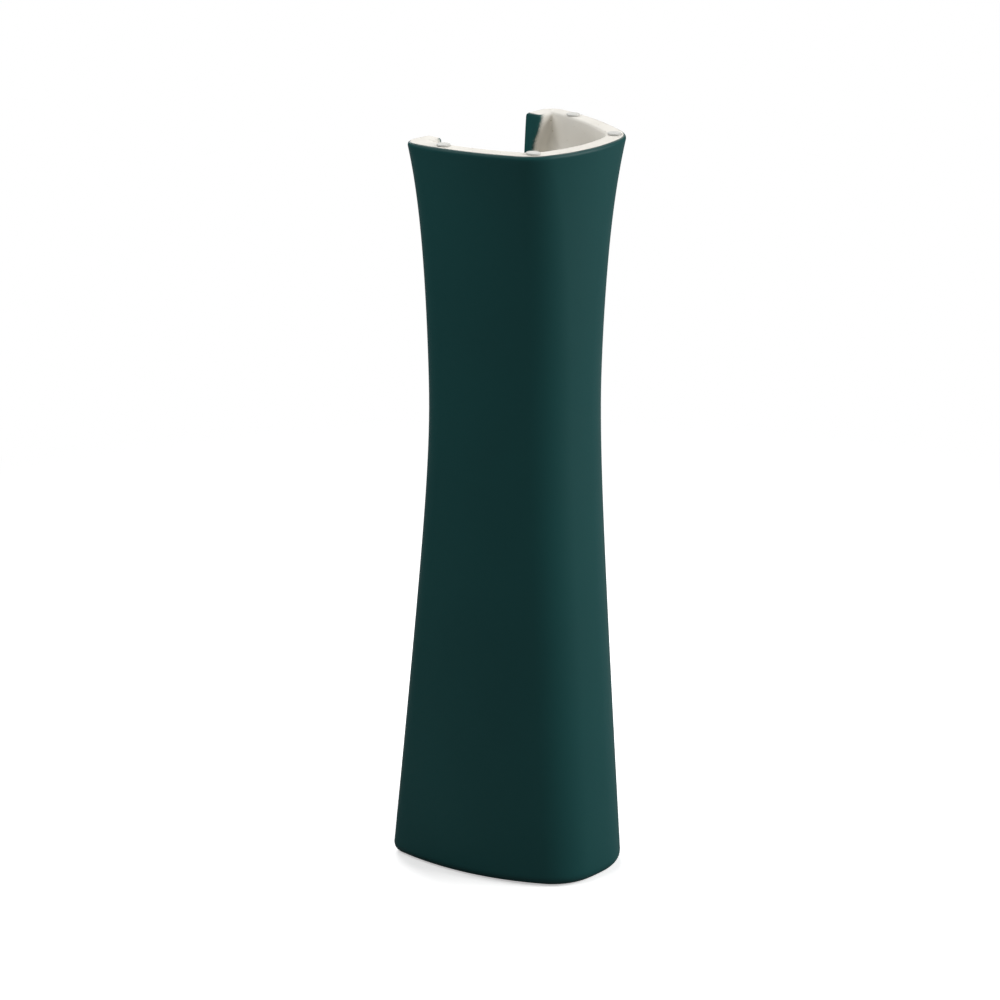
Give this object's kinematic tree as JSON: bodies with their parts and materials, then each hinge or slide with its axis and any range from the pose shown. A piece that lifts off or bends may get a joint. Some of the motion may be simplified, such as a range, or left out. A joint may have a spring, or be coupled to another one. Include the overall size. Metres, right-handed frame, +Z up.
{
  "type": "washbasin pedestal",
  "caption": "Hollow glazed ceramic column that stands on the floor under a washbasin, with a rounded nose, flared foot and top, an open back and capped floor screws.",
  "frame": {"origin": "on the floor, in the middle of the foot's width and depth", "axes": "+Z up along the column; the rounded nose faces -Y and the open back faces the wall at +Y; +X is to the right for someone facing the nose"},
  "size_m": [0.1902, 0.1813, 0.6818],
  "materials": {
    "green_glaze": "satin dark green glaze over white vitreous china",
    "screw_steel": "bright zinc plated",
    "bush_nylon": "natural nylon",
    "cap_plastic": "gloss, matched to the glaze",
    "buffer_rubber": "soft matt"
  },
  "bodies": {
    "root": {"column_shell": "green_glaze", "floor_screw_left": "screw_steel", "floor_screw_right": "screw_steel", "screw_bush_left": "bush_nylon", "screw_bush_right": "bush_nylon", "screw_cap_left": "cap_plastic", "screw_cap_right": "cap_plastic", "basin_buffer_front_left": "buffer_rubber", "basin_buffer_front_right": "buffer_rubber", "basin_buffer_rear_left": "buffer_rubber", "basin_buffer_rear_right": "buffer_rubber"}
  },
  "joints": []
}
